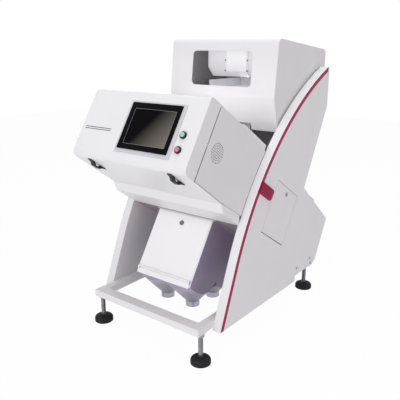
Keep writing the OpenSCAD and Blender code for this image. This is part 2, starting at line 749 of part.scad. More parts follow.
module feeder_tray() color(STEEL) {
    difference() {
        block([-tray_w / 2, tray_y, tray_z], [tray_w / 2, tray_back, tray_z + tray_h]);
        block([-tray_w / 2 + tray_wall, tray_y - eps, tray_z + tray_wall],
            [tray_w / 2 - tray_wall, tray_back - tray_wall, tray_z + tray_h + eps]);
    }
    block([-bracket_w / 2, drive_y - bracket_d / 2, tray_z - rib_low],
        [bracket_w / 2, drive_y + bracket_d / 2, tray_z + eps]);
}
spring_h = tray_z - rib_low - drive_z - drive_base_h;
spring_x = 45;
spring_y = 58;
spring_shift = spring_h * tan(spring_lean);
module feeder_springs() color(STEEL) for (side = [-1, 1], end = [-1, 1])
    let (x = side * spring_x, y = drive_y + end * spring_y - spring_shift / 2, z = drive_z + drive_base_h)
    slab(x - spring_w / 2, x + spring_w / 2) polygon([[y, z], [y + spring_t, z],
        [y + spring_t + spring_shift, z + spring_h], [y + spring_shift, z + spring_h]]);
module feeder_drive() color("#4d6a8c") {
    block([-drive_w / 2, drive_y - drive_l / 2, drive_z],
        [drive_w / 2, drive_y + drive_l / 2, drive_z + drive_base_h]);
    block([-core_w / 2, drive_y, drive_z], [core_w / 2, drive_y + core_w, magnet_top]);
    block([-coil_w / 2, drive_y + core_w / 2 - coil_w / 2, magnet_top - coil_h - 8],
        [coil_w / 2, drive_y + core_w / 2 + coil_w / 2, magnet_top - 8]);
}

// Chute and the bars that carry it
chute_drop = 33;
chute_top = along_t(chute_s, tray_z - chute_drop);
chute_low = 205;
chute_t = 3;
module chute() color("#d6d6da") tilted() difference() {
    block([-chute_w / 2, chute_s - chute_rail, chute_low], [chute_w / 2, chute_s + chute_t, chute_top]);
    block([-chute_w / 2 + 2, chute_s - chute_rail - eps, chute_low - eps],
        [chute_w / 2 - 2, chute_s, chute_top + eps]);
}
front_bar_s = 230;
rear_bar_s = 830;
bar_t = 105;
module cross_bars() color(GREY) {
    tilted() {
        for (t = [chute_low + bar_side, chute_top - 140]) block([-plate_x, chute_s + chute_t, t],
            [plate_x, chute_s + chute_t + bar_side, t + bar_side]);
        for (s = [front_bar_s, rear_bar_s])
            block([-plate_x, s, bar_t], [plate_x, s + bar_side, bar_t + bar_side]);
    }
    for (y = [drive_y - 2 * bar_side, drive_y + bar_side])
        block([-plate_x, y, drive_z - bar_side], [plate_x, y + bar_side, drive_z]);
}

// Optics on both sides of the product stream
front_wall_s = 512;
rear_wall_s = 690;
slot_w = 330;
slot_h = 70;
wall_top = 300;
glass_t = 4;
lamp_w = 330;
lamp_d = 30;
lamp_h = 20;
module view_wall(s, low, half) difference() {
    block([-half, s, low], [half, s + sheet, wall_top]);
    block([-slot_w / 2, s - eps, sight_t - slot_h / 2], [slot_w / 2, s + sheet + eps, sight_t + slot_h / 2]);
}
wiper_t = sight_t + slot_h / 2 + 22;
rod_r = 5;
rod_out = 11;
module view_walls() color(GREY) tilted() {
    view_wall(front_wall_s, 60, lap_x);
    view_wall(rear_wall_s, floor_t, plate_x);
    translate([0, front_wall_s + sheet + rod_out, wiper_t]) bar_x(rod_r, -lap_x, lap_x);
    translate([0, rear_wall_s - rod_out, wiper_t]) bar_x(rod_r, -plate_x, plate_x);
}
glass_lap = 8;
module view_glasses() color("#a9c4cc") tilted()
    for (s = [front_wall_s - glass_t, rear_wall_s + sheet])
        block([-slot_w / 2 - glass_lap, s, sight_t - glass_h / 2],
            [slot_w / 2 + glass_lap, s + glass_t, sight_t + glass_h / 2]);
module lamps() color("#e9e9d8") tilted()
    for (s = [front_wall_s - lamp_d, rear_wall_s + sheet], t = [-1, 1])
        let (mid = sight_t + t * (glass_h / 2 + lamp_h / 2 + 5))
        block([-lamp_w / 2, s, mid - lamp_h / 2], [lamp_w / 2, s + lamp_d, mid + lamp_h / 2]);

// Camera body with a two-step lens at its far end
camera_l = 130;
camera_w = 70;
camera_h = 60;
camera_back = 50;
lens_r = 24;
lens_l = 26;
lens_tip = 22;
module camera() {
    block([-camera_w / 2, 0, 0], [camera_w / 2, camera_l, camera_h]);
    translate([0, 0, camera_h / 2]) {
        bar_s(lens_r, camera_l - eps, camera_l + lens_l);
        bar_s(lens_r - 4, camera_l + lens_l - eps, camera_l + lens_l + lens_tip);
    }
}
module front_camera() color(BLACK) tilted()
    translate([0, front_bar_s - camera_back, bar_t + bar_side]) camera();
module rear_camera() color(BLACK) tilted()
    translate([0, rear_bar_s - camera_back + camera_l, bar_t + bar_side]) mirror([0, 1, 0]) camera();

// Air ejectors below the sight line
block_low = 62;
block_high = 92;
block_d = 40;
valve_count = 16;
valve_w = 16;
valve_l = 46;
nozzle_r = 2;
nozzle_l = 12;
nozzle_count = floor((slot_w - 20) / nozzle_pitch);
nozzle_t = (block_low + block_high) / 2;
module ejector_block() color("#8f9299") tilted() difference() {
    block([-slot_w / 2, rear_wall_s - block_d, block_low], [slot_w / 2, rear_wall_s, block_high]);
    for (i = [0:nozzle_count - 1]) translate([(i - (nozzle_count - 1) / 2) * nozzle_pitch, 0, nozzle_t])
        bar_s(nozzle_r, rear_wall_s - block_d - eps, rear_wall_s - block_d + nozzle_l);
}
module ejector_valves() color("#3a3d44") tilted() for (i = [0:valve_count - 1])
    let (x = (i - (valve_count - 1) / 2) * slot_w / valve_count)
    block([x - valve_w / 2, rear_wall_s + sheet, block_low + 2],
        [x + valve_w / 2, rear_wall_s + sheet + valve_l, block_high - 2]);

// Glass wipers on their rods, parked at the left end of the slots
wiper_w = 20;
wiper_x = -slot_w / 2 + 2;
blade_gap = 0.3;
module wiper(face, dir) tilted() translate([wiper_x, face, 0]) mirror([0, dir < 0 ? 1 : 0, 0]) difference() {
    union() {
        block([0, sheet + 2, wiper_t - 9], [wiper_w, sheet + rod_out + 9, wiper_t + 9]);
        block([5, sheet + 2, sight_t - slot_h / 2 + 2], [15, sheet + 6, wiper_t]);
        block([7, blade_gap, sight_t - slot_h / 2 + 2], [13, sheet + 3, sight_t + slot_h / 2 - 2]);
    }
    translate([0, sheet + rod_out, wiper_t]) bar_x(rod_r + run_gap, -eps, wiper_w + eps);
}
module wiper_front() color("#3a3d44") wiper(front_wall_s, 1);
module wiper_rear() color("#3a3d44") wiper(rear_wall_s + sheet, -1);

// Floor between the side plates, with the mouth of the collector
floor_t = -50;
floor_d = 6;
floor_front = 500;
floor_back = 850;
mouth_front = 532;
mouth_back = rear_wall_s - 5;
module sorting_floor() color(GREY) tilted() difference() {
    block([-plate_x, floor_front, floor_t - floor_d], [plate_x, floor_back, floor_t]);
    block([-mouth_x, mouth_front, floor_t - floor_d - eps], [mouth_x, mouth_back, floor_t + eps]);
}

// Collecting hopper: front and rear chambers, each with two funnels
bin_s = 525;
bin_top = floor_t - floor_d - seat_gap;
bin_low = -400;
split_s = 600;
bin_back_s = 800;
split_y = -190;
bin_rear_y = -30;
funnel_z = spout_z + spout_l;
funnel_slope = 1.1;
funnel_h = 460;
front_spout = [82, -257];
rear_spout = [100, -112];
spout_places = [for (p = [front_spout, rear_spout], side = [-1, 1]) [side * p.x, p.y]];
chamber_z = funnel_z - 40;
front_chamber = [at(bin_s, bin_top), at(bin_s, bin_low), [at(bin_s, bin_low).x, chamber_z],
    [split_y, chamber_z], at(split_s, bin_top)];
rear_chamber = [at(split_s - bin_wall / 2, bin_top), [split_y - bin_wall / 2, chamber_z],
    [bin_rear_y, chamber_z], at(bin_back_s, bin_top)];
mouth_x = bin_w / 2 - 12;
flange_w = 14;

module funnels(places, shrink) for (p = places) translate([p.x, p.y, funnel_z - (shrink > 0 ? eps : 0)])
    cylinder(r1 = spout_d / 2 - shrink, r2 = spout_d / 2 - shrink + funnel_h / funnel_slope, h = funnel_h);
module chamber(outline, places) difference() {
    intersection() {
        across(bin_w) polygon(outline);
        funnels(places, 0);
    }
    intersection() {
        across(bin_w - 2 * bin_wall) polygon(moved(outline, bin_wall));
        funnels(places, bin_wall);
    }
}

bin_door_low = -366;
bin_door_high = -64;
bin_door_w = bin_w - 10;
bin_hinge_s = bin_s - sheet - 4;
bin_hinge_t = bin_door_low - 3;
bin_knuckle_r = 5;
bin_pin_r = 2.5;
latch_t = -106;
latch_shaft = 5;
ear_w = 8;
ear_gap = 1;

module collector_shell() color(STEEL) {
    difference() {
        union() {
            chamber(front_chamber, [spout_places[0], spout_places[1]]);
            chamber(rear_chamber, [spout_places[2], spout_places[3]]);
        }
        tilted() {
            block([-bin_w / 2 + 15, bin_s - eps, bin_door_low + 14],
                [bin_w / 2 - 15, bin_s + bin_wall + eps, bin_door_high - 22]);
            block([-mouth_x, mouth_front, bin_top - 12], [mouth_x, mouth_back, bin_top + eps]);
        }
    }
    tilted() {
        difference() {
            block([-bin_w / 2 - flange_w, bin_s, bin_top - sheet],
                [bin_w / 2 + flange_w, bin_back_s + flange_w, bin_top]);
            block([-mouth_x, mouth_front, bin_top - sheet - eps], [mouth_x, mouth_back, bin_top + eps]);
        }
        block([-bin_door_w / 2, bin_s - sheet, bin_low - 2],
            [bin_door_w / 2, bin_s + bin_wall / 2, bin_hinge_t - bin_knuckle_r - 1]);
        translate([0, bin_hinge_s, bin_hinge_t]) bar_x(bin_pin_r, -bin_door_w / 2, bin_door_w / 2);
        both_sides()
            block([bin_door_w / 2 - ear_w, bin_hinge_s - bin_knuckle_r, bin_hinge_t - bin_knuckle_r - 6],
                [bin_door_w / 2, bin_s, bin_hinge_t + bin_knuckle_r - 1]);
    }
}
module collector_door() color("#e9e7f2") tilted() difference() {
    union() {
        block([-bin_door_w / 2, bin_s - sheet, bin_hinge_t + bin_knuckle_r + ear_gap],
            [bin_door_w / 2, bin_s, bin_door_high]);
        block([-bin_door_w / 2 + ear_w + ear_gap, bin_hinge_s, bin_hinge_t],
            [bin_door_w / 2 - ear_w - ear_gap, bin_s - sheet / 2, bin_hinge_t + bin_knuckle_r + 2]);
        translate([0, bin_hinge_s, bin_hinge_t])
            bar_x(bin_knuckle_r, -bin_door_w / 2 + ear_w + ear_gap, bin_door_w / 2 - ear_w - ear_gap);
    }
    translate([0, bin_hinge_s, bin_hinge_t]) bar_x(bin_pin_r + run_gap, -bin_door_w / 2, bin_door_w / 2);
    translate([0, 0, latch_t]) bar_s(latch_shaft + run_gap, bin_s - sheet - eps, bin_s + eps);
}
module collector_latch() color(BLACK) tilted() translate([0, 0, latch_t]) difference() {
    union() {
        bar_s(12, bin_s - sheet - 5, bin_s - sheet);
        bar_s(latch_shaft, bin_s - sheet - eps, bin_s + 9);
        block([-7, bin_s + 6, -7], [27, bin_s + 9, 7]);
    }
    block([-9, bin_s - sheet - 6, -2], [9, bin_s - sheet - 2, 2]);
}
module collector_spouts() color(STEEL) for (p = spout_places) translate([p.x, p.y, spout_z]) difference() {
    cylinder(d = spout_d, h = spout_l);
    translate([0, 0, -eps]) cylinder(d = spout_d - 2 * bin_wall, h = spout_l + 2 * eps);
}

// Sheets that close the back between the side plates
module rear_panel() color(WHITE) across(2 * plate_x) polygon(strip(
    [[cover_back - back_inset, box_rear_low.y], [cover_back - back_inset, neck_z], waist + [-2, 6]], -sheet));

shelf_low = heel_s - 6;
shelf_path = [[928, 293], [1311, 250], [shelf_low, along_t(shelf_low, heel_z)]];
rear_floor_y = heel.x - 11;
function shelf_t(s) = shelf_path[0].y + (s - shelf_path[0].x)
    * (shelf_path[1].y - shelf_path[0].y) / (shelf_path[1].x - shelf_path[0].x);
lid_s = 985;
lid_w = 2 * (plate_x - lid_inset);
lid_t = 316;
lid_h = 8;
seal_rim = 15;
hole_margin = 25;
lid_hinge_s = lid_s - 5;
lid_hinge_t = lid_t - lid_h / 2;
lid_knuckle_x = half_w - 103;
lid_knuckle_l = 40;
port_t = 90;
air_x = half_w - 93;
gland_x = air_x - 40;
gland_bore = 5;
air_bore = 4;
port_shank = 8;
back_tilt = atan((shelf_path[2].x - shelf_path[1].x) / (shelf_path[1].y - shelf_path[2].y));
module port_at(x) translate([x, back_s(port_t), port_t]) rotate([back_tilt, 0, 0]) children();
function back_s(t) = shelf_path[1].x + (shelf_path[1].y - t)
    * (shelf_path[2].x - shelf_path[1].x) / (shelf_path[1].y - shelf_path[2].y);

module rear_floor() block([-plate_x, cross_tube_y + rail_w, beam_z + beam_h],
    [plate_x, rear_floor_y, beam_z + beam_h + sheet]);
module rear_box_panel() color(WHITE) {
    rear_floor();
    tilted() rear_box_sheet();
}
module rear_box_sheet() {
    difference() {
        across(2 * plate_x) polygon(strip(rounded(shelf_path, [0, 14, 0]), -sheet));
        block([-lid_w / 2 + hole_margin, lid_s + hole_margin, shelf_t(lid_s + lid_l) - 20],
            [lid_w / 2 - hole_margin, lid_s + lid_l - hole_margin, lid_t]);
        for (x = [gland_x, air_x]) port_at(x) bar_s(port_shank, -10, 10);
    }
    for (x = [-lid_knuckle_x, lid_knuckle_x]) {
        translate([0, lid_hinge_s, lid_hinge_t]) bar_x(hinge_pin_r, x - lid_knuckle_l, x + lid_knuckle_l);
        for (end = [-1, 1]) let (x0 = x + end * lid_knuckle_l * 0.8) {
            translate([0, lid_hinge_s, lid_hinge_t]) bar_x(knuckle_r, x0 - 7, x0 + 7);
            slab(x0 - 7, x0 + 7) let (front = lid_hinge_s - 12, back = lid_hinge_s + 3)
                polygon([[lid_hinge_s - 3, lid_hinge_t], [back, lid_hinge_t],
                    [back, shelf_t(back) - 1], [front, shelf_t(front) - 1]]);
        }
    }
}
// Seal under the lid, standing on the rear box
seal_front = lid_s + sheet + 1;
seal_back = lid_s + lid_l - sheet - 1;
module lid_seal() color(BLACK) tilted() difference() {
    across(lid_w - 2 * sheet - 2) polygon([[seal_front, shelf_t(seal_front) + seat_gap],
        [seal_back, shelf_t(seal_back) + seat_gap], [seal_back, lid_t - sheet], [seal_front, lid_t - sheet]]);
    block([-lid_w / 2 + sheet + seal_rim, lid_s + sheet + seal_rim, shelf_t(lid_s + lid_l) - 20],
        [lid_w / 2 - sheet - seal_rim, lid_s + lid_l - sheet - seal_rim, lid_t + eps]);
}
module rear_lid() color(WHITE) tilted() difference() {
    union() {
        difference() {
            block([-lid_w / 2, lid_s, lid_t - lid_h], [lid_w / 2, lid_s + lid_l, lid_t]);
            block([-lid_w / 2 + sheet, lid_s + sheet, lid_t - lid_h - eps],
                [lid_w / 2 - sheet, lid_s + lid_l - sheet, lid_t - sheet]);
        }
        for (x = [-lid_knuckle_x, lid_knuckle_x]) {
            translate([0, lid_hinge_s, lid_hinge_t]) bar_x(knuckle_r, x - 20, x + 20);
            block([x - 20, lid_hinge_s, lid_hinge_t - 2], [x + 20, lid_s + 1, lid_hinge_t + 2]);
        }
    }
    for (x = [-lid_knuckle_x, lid_knuckle_x]) translate([0, lid_hinge_s, lid_hinge_t])
        bar_x(hinge_pin_r + run_gap, x - 21, x + 21);
}

// Cable gland and compressed-air inlet on the back
module port(x, bore, shaft) port_at(x) difference() {
    union() {
        bar_s(port_shank, -14, 24);
        rotate([-90, 0, 0]) hex(nut_flats, 8);
        bar_s(shaft, 0, 24);
    }
    bar_s(bore, -15, 25);
}
module service_ports() color(STEEL) tilted() {
    port(gland_x, gland_bore, 10);
    port(air_x, air_bore, 9);
}

base_frame();
beam_end_caps();
lock_nuts();
foot_pads();
foot_stem_front_left();
foot_stem_front_right();
foot_stem_rear_left();
foot_stem_rear_right();
side_plate_left();
side_plate_right();
side_cover_left();
side_cover_right();
trim_stripes();
cover_tabs();
side_door();
side_door_lock();
side_door_hinges();
hood_left_panel();
hood_right_panel();
hood_top_panel();
hood_bottom_pan();
front_door();
door_hinge();
display_frame();
display_bezel();
display_screen();
button_bezels();
start_button();
stop_button();
door_handles();
fan_frame();
fan_rotor();
feed_wrap();
feed_sides();
feed_hopper();
hopper_window();
feeder_tray();
feeder_springs();
feeder_drive();
chute();
cross_bars();
view_walls();
view_glasses();
lamps();
front_camera();
rear_camera();
ejector_block();
ejector_valves();
wiper_front();
wiper_rear();
sorting_floor();
collector_shell();
collector_door();
collector_latch();
collector_spouts();
rear_panel();
rear_box_panel();
rear_lid();
lid_seal();
service_ports();
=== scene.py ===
import json
import math

import bpy
from mathutils import Matrix, Vector


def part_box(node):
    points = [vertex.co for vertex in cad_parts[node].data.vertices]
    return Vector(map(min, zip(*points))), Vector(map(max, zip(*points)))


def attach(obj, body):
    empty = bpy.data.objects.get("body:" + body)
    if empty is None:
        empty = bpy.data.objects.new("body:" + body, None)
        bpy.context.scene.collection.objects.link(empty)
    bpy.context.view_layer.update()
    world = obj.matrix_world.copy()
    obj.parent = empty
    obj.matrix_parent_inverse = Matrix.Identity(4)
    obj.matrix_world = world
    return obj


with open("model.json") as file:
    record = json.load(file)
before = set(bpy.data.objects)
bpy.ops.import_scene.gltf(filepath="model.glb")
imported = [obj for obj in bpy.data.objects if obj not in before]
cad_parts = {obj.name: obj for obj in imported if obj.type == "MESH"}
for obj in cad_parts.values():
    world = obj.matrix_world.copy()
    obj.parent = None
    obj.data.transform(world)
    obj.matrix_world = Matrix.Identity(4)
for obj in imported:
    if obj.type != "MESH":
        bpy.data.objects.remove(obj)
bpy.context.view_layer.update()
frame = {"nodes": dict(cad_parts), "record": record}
scene = bpy.context.scene
nodes = frame["nodes"]
joints = {j["name"]: j for j in frame["record"]["behaviour"]["joints"]}

MM = 0.001
SIDES = {"right": 1, "left": -1}
FEET = ("front_left", "front_right", "rear_left", "rear_right")

# Tilted axes of the hood: x across, s back into the machine, t up along the hood front
X_AXIS = Vector((1, 0, 0))
S_AXIS = Vector(joints["start_button_press"]["axis"])
T_AXIS = X_AXIS.cross(S_AXIS)
HOOD_CORNER = Vector((0, -0.619, 0.899))


def tilted(x, s, t):
    """Point of the tilted axes, given in millimetres."""
    return HOOD_CORNER + (X_AXIS * x + S_AXIS * s + T_AXIS * t) * MM


# Shader nodes

GRAIN_DETAIL = 2.0
GRAIN_STRENGTH = 0.25
GRAIN_DEPTH = 0.00004
GLOSS_SPREAD = 0.04
PATCH_SCALE = 7.0
FAINT_SHADE = 0.97


def new_material(name):
    material = bpy.data.materials.new(name)
    material.use_nodes = True
    tree = material.node_tree
    tree.nodes.clear()
    output = tree.nodes.new("ShaderNodeOutputMaterial")
    return material, tree, output


def shaded_material(name):
    """Material with one principled shader."""
    material, tree, output = new_material(name)
    shader = tree.nodes.new("ShaderNodeBsdfPrincipled")
    tree.links.new(shader.outputs["BSDF"], output.inputs["Surface"])
    return material, tree, shader


def noise(tree, scale, detail=3.0, stretch=(1, 1, 1)):
    """Noise in object coordinates, as its factor output."""
    place = tree.nodes.new("ShaderNodeTexCoord")
    mapping = tree.nodes.new("ShaderNodeMapping")
    mapping.inputs["Scale"].default_value = stretch
    texture = tree.nodes.new("ShaderNodeTexNoise")
    texture.inputs["Scale"].default_value = scale
    texture.inputs["Detail"].default_value = detail
    tree.links.new(place.outputs["Object"], mapping.inputs["Vector"])
    tree.links.new(mapping.outputs["Vector"], texture.inputs["Vector"])
    return texture.outputs["Fac"]


def ramp(tree, factor, low, high, start=0.3, end=0.7):
    """Colour ramp from low to high."""
    node = tree.nodes.new("ShaderNodeValToRGB")
    node.color_ramp.elements[0].position = start
    node.color_ramp.elements[1].position = end
    node.color_ramp.elements[0].color = (*low, 1)
    node.color_ramp.elements[1].color = (*high, 1)
    tree.links.new(factor, node.inputs["Fac"])
    return node.outputs["Color"]


def spread(tree, factor, low, high, start=0.0, end=1.0):
    """Range from start to end mapped to the range low to high."""
    node = tree.nodes.new("ShaderNodeMapRange")
    node.inputs["From Min"].default_value = start
    node.inputs["From Max"].default_value = end
    node.inputs["To Min"].default_value = low
    node.inputs["To Max"].default_value = high
    tree.links.new(factor, node.inputs["Value"])
    return node.outputs["Result"]


def along(tree, vectors, direction):
    """How far a vector output reaches along a direction."""
    node = tree.nodes.new("ShaderNodeVectorMath")
    node.operation = "DOT_PRODUCT"
    node.inputs[1].default_value = direction
    tree.links.new(vectors, node.inputs[0])
    return node.outputs["Value"]


def bump(tree, height, edge):
    """Fine relief, over edges that look rounded by the radius given."""
    node = tree.nodes.new("ShaderNodeBump")
    node.inputs["Strength"].default_value = GRAIN_STRENGTH
    node.inputs["Distance"].default_value = GRAIN_DEPTH
    tree.links.new(height, node.inputs["Height"])
    if edge:
        soft = tree.nodes.new("ShaderNodeBevel")
        soft.inputs["Radius"].default_value = edge
        tree.links.new(soft.outputs["Normal"], node.inputs["Normal"])
    return node.outputs["Normal"]


def add_grain(tree, shader, roughness, grain, stretch, edge):
    """Gloss and fine relief that vary together."""
    fine = noise(tree, grain, GRAIN_DETAIL, stretch)
    gloss = spread(tree, fine, roughness - GLOSS_SPREAD, roughness + GLOSS_SPREAD)
    tree.links.new(gloss, shader.inputs["Roughness"])
    tree.links.new(bump(tree, fine, edge), shader.inputs["Normal"])


def scaled(color, k):
    return tuple(min(1.0, c * k) for c in color)


# Kinds of material

# Radius by which edges look rounded, in the finishes that use it
SOFT_EDGE = 0.0012
# Brushed finishes, by the way their fine lines run
BRUSHED_LEVEL = dict(grain=260, stretch=(1, 1, 14))
BRUSHED_ACROSS = dict(grain=260, stretch=(1, 14, 1))
BRUSHED_DOWN = dict(grain=260, stretch=(14, 1, 1))


def surface(name, color, roughness, variation, grain=900, stretch=(1, 1, 1), metallic=0.0, coat=0.0,
            edge=0.0, specular=0.5):
    """Solid finish whose colour, gloss and fine grain vary a little over the surface."""
    material, tree, shader = shaded_material(name)
    shader.inputs["Metallic"].default_value = metallic
    shader.inputs["Coat Weight"].default_value = coat
    shader.inputs["Specular IOR Level"].default_value = specular
    low, high = scaled(color, 1 - variation), scaled(color, 1 + variation)
    tree.links.new(ramp(tree, noise(tree, PATCH_SCALE), low, high), shader.inputs["Base Color"])
    add_grain(tree, shader, roughness, grain, stretch, edge)
    return material


SCREEN_SPECULAR = 0.03
SCREEN_PATCHES = 40
SCREEN_GLOSS = (0.16, 0.24)
# Direction and range of the screen's painted sheen, a painted reflection in its base colour
PAINTED_SHEEN_RIGHT = 0.8
PAINTED_SHEEN_DOWN = 0.6
PAINTED_SHEEN_RANGE = (0.42, 1.0)


def screen_material(name, dark, pale, mesh):
    """Dark screen whose base colour holds a painted sheen, a painted reflection growing from its upper
    left to its lower right.
    """
    material, tree, shader = shaded_material(name)
    shader.inputs["Specular IOR Level"].default_value = SCREEN_SPECULAR
    direction = X_AXIS * PAINTED_SHEEN_RIGHT - T_AXIS * PAINTED_SHEEN_DOWN
    reach = [direction.dot(v.co) for v in mesh.vertices]
    place = tree.nodes.new("ShaderNodeTexCoord")
    distance = along(tree, place.outputs["Object"], direction)
    share = spread(tree, distance, 0, 1, min(reach), max(reach))
    tree.links.new(ramp(tree, share, dark, pale, *PAINTED_SHEEN_RANGE), shader.inputs["Base Color"])
    tree.links.new(spread(tree, noise(tree, SCREEN_PATCHES), *SCREEN_GLOSS), shader.inputs["Roughness"])
    return material


COLLECTOR_METALLIC = 0.4
COLLECTOR_ROUGHNESS = 0.34
# Heights above and below the top of the funnels between which their painted shade fades
FUNNEL_SHADE_BELOW = 0.02
FUNNEL_SHADE_ABOVE = 0.06
# Cosine between a face's normal and the front's, from where the front's painted light begins to where it
# is full
LIT_FRONT_RANGE = (0.93, 0.97)


def collector_material(name, side, front, funnel, funnel_top):
    """Lit and shaded copies of one lilac steel: the slanting front pale as painted light, the sides
    darker and the funnels darker still as painted shade.
    """
    material, tree, shader = shaded_material(name)
    shader.inputs["Metallic"].default_value = COLLECTOR_METALLIC
    place = tree.nodes.new("ShaderNodeTexCoord")
    height = along(tree, place.outputs["Object"], (0, 0, 1))
    level = spread(tree, height, 0, 1, funnel_top - FUNNEL_SHADE_BELOW, funnel_top + FUNNEL_SHADE_ABOVE)
    geometry = tree.nodes.new("ShaderNodeNewGeometry")
    facing = along(tree, geometry.outputs["True Normal"], -S_AXIS)
    # Sockets 0, 6 and 7 are the factor and the two colours, and output 2 is the mixed colour
    mixed = tree.nodes.new("ShaderNodeMix")
    mixed.data_type = "RGBA"
    tree.links.new(ramp(tree, facing, (0, 0, 0), (1, 1, 1), *LIT_FRONT_RANGE), mixed.inputs[0])
    tree.links.new(ramp(tree, level, funnel, side, 0.0, 1.0), mixed.inputs[6])
    pale = ramp(tree, noise(tree, PATCH_SCALE), scaled(front, FAINT_SHADE), front)
    tree.links.new(pale, mixed.inputs[7])
    tree.links.new(mixed.outputs[2], shader.inputs["Base Color"])
    add_grain(tree, shader, COLLECTOR_ROUGHNESS, **BRUSHED_LEVEL, edge=SOFT_EDGE)
    return material


GLASS_PATCHES = 20
GLASS_SMEARS = 30
GLASS_GLOSS = (0.0, 0.04)


def glass_material(name, tint):
    """Clear glass with a faint tint."""
    material, tree, shader = shaded_material(name)
    shader.inputs["Transmission Weight"].default_value = 1.0
    shader.inputs["IOR"].default_value = 1.5
    color = ramp(tree, noise(tree, GLASS_PATCHES), scaled(tint, FAINT_SHADE), tint)
    tree.links.new(color, shader.inputs["Base Color"])
    tree.links.new(spread(tree, noise(tree, GLASS_SMEARS), *GLASS_GLOSS), shader.inputs["Roughness"])
    return material


# Looks of the machine: those of the record's slots, then those of single pieces

FINISHES = {
    "white_paint": dict(color=(0.84, 0.83, 0.855), roughness=0.42, variation=0.01, edge=SOFT_EDGE),
    # grey_paint: the same white paint as the covers, kept a little darker as painted shade on the panels
    # that use it
    "grey_paint": dict(color=(0.80, 0.785, 0.805), roughness=0.45, variation=0.012, edge=SOFT_EDGE),
    "display_rim": dict(color=(0.62, 0.62, 0.66), roughness=0.4, variation=0.02),
    "crimson_trim": dict(color=(0.39, 0.005, 0.066), roughness=0.4, variation=0.06, specular=0.2),
    "zinc_steel": dict(color=(0.36, 0.35, 0.38), roughness=0.35, variation=0.08, metallic=1.0),
    "stainless": dict(color=(0.60, 0.585, 0.66), roughness=0.36, variation=0.04, metallic=0.75,
                      **BRUSHED_LEVEL),
    "hard_aluminium": dict(color=(0.6, 0.6, 0.63), roughness=0.38, variation=0.04, grain=400,
                           metallic=1.0),
    "black_rubber": dict(color=(0.012, 0.012, 0.014), roughness=0.75, variation=0.25, grain=600,
                         edge=SOFT_EDGE, specular=0.3),
    "black_plastic": dict(color=(0.014, 0.014, 0.017), roughness=0.42, variation=0.2, grain=700,
                          edge=SOFT_EDGE, specular=0.3),
    "green_cap": dict(color=(0.36, 0.62, 0.53), roughness=0.25, variation=0.05, coat=0.3, edge=SOFT_EDGE),
    "red_cap": dict(color=(0.66, 0.20, 0.32), roughness=0.25, variation=0.05, coat=0.3, edge=SOFT_EDGE),
    "white_plastic": dict(color=(0.88, 0.88, 0.90), roughness=0.3, variation=0.01),
    "blue_paint": dict(color=(0.05, 0.11, 0.2), roughness=0.4, variation=0.05),
    "plated_brass": dict(color=(0.55, 0.53, 0.5), roughness=0.3, variation=0.05, metallic=1.0),
    "dark_steel": dict(color=(0.20, 0.19, 0.21), roughness=0.35, variation=0.08, metallic=1.0),
    "spout_steel": dict(color=(0.38, 0.36, 0.43), roughness=0.24, variation=0.06, metallic=1.0,
                        edge=SOFT_EDGE),
    # pale_steel: the collector door's steel made near-white as painted light, like the collector's pale
    # front
    "pale_steel": dict(color=(0.96, 0.95, 0.97), roughness=0.4, variation=0.01, edge=SOFT_EDGE,
                       **BRUSHED_LEVEL),
    "hopper_steel": dict(color=(0.76, 0.75, 0.78), roughness=0.45, variation=0.02, **BRUSHED_DOWN),
    "sight_plate": dict(color=(0.88, 0.88, 0.90), roughness=0.5, variation=0.01, specular=0.2),
    # tray_steel: a pale matt copy of the tray's stainless, its brightness a painted reflection of the
    # tray's shine
    "tray_steel": dict(color=(0.92, 0.91, 0.96), roughness=0.4, variation=0.02, **BRUSHED_ACROSS),
    "display_black": dict(color=(0.004, 0.004, 0.006), roughness=0.5, variation=0.2, grain=700,
                          specular=0.03),
    # Sorting floor steel, darkened to a warm grey as painted shade for the shade under the hood
    "shaded_floor_steel": dict(color=(0.34, 0.28, 0.28), roughness=0.5, variation=0.05, **BRUSHED_DOWN),
    "dark_ink": dict(color=(0.045, 0.045, 0.055), roughness=0.5, variation=0.1, specular=0.2),
    "pale_rim": dict(color=(0.34, 0.33, 0.31), roughness=0.5, variation=0.05),
}
LOOKS = {name: surface(name, **finish) for name, finish in FINISHES.items()}
LOOKS["clear_glass"] = glass_material("clear_glass", (0.82, 0.9, 0.9))
# The screen's pale colour is the bright end of its painted sheen, a painted reflection
LOOKS["screen_glass"] = screen_material("screen_glass", (0.0015, 0.0015, 0.002), (0.20, 0.18, 0.155),
                                        nodes["display_screen"].data)
# Collector steel: the pale front is painted light, the darker lilac sides and grey funnels are painted
# shade
LOOKS["tinted_steel"] = collector_material("tinted_steel", side=(0.52, 0.44, 0.60),
                                           front=(0.90, 0.89, 0.93), funnel=(0.24, 0.225, 0.30),
                                           funnel_top=0.24)

# Nodes whose finish differs from the rest of their slot
OWN_LOOKS = {
    "collector_shell": "tinted_steel",
    "collector_spouts": "spout_steel",
    "collector_door": "pale_steel",
    "collector_latch": "dark_steel",
    "feed_hopper": "hopper_steel",
    "hopper_window": "sight_plate",
    "feeder_tray": "tray_steel",
    "display_bezel": "display_black",
    "sorting_floor": "shaded_floor_steel",
}
for end in FEET:
    OWN_LOOKS["foot_stem_" + end] = "dark_steel"
for row in frame["record"]["subparts"]:
    mesh = nodes[row["node"]].data
    mesh.materials.clear()
    mesh.materials.append(LOOKS[OWN_LOOKS.get(row["node"], row["material_slot"])])


# Shapes of the small pieces, each as its points and faces

# Domed screw head: radii and heights as shares of the head's radius
HEAD_STEPS = 20
HEAD_PROFILE = [(1, 0), (1, 0.25), (0.8, 0.5), (0.4, 0.62)]


